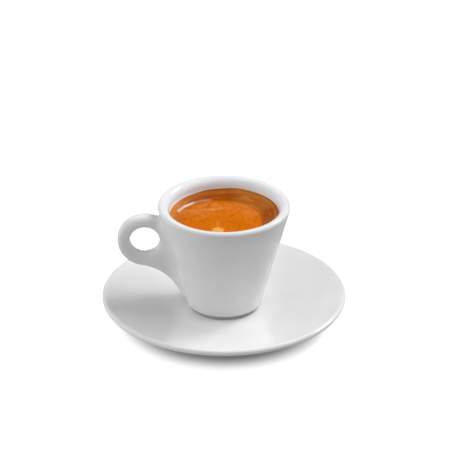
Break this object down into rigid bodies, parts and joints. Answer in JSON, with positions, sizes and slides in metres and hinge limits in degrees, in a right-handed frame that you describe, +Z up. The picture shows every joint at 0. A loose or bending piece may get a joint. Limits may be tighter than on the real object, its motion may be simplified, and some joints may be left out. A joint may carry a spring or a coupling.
{
  "type": "espresso in a cup with saucer",
  "caption": "Espresso with a golden crema in a thick-walled, cone-shaped white porcelain cup with a ring handle, standing on a shallow round saucer.",
  "frame": {"origin": "centre of the saucer's foot ring, on the surface that it stands on", "axes": "+Z up along the axis of the cup and saucer, handle towards -X, front towards -Y"},
  "size_m": [0.12, 0.12, 0.0621],
  "materials": {
    "porcelain": "glossy white glaze",
    "crema": "satin golden-brown foam"
  },
  "bodies": {
    "root": {"cup": "porcelain", "saucer": "porcelain", "espresso": "crema"}
  },
  "joints": []
}
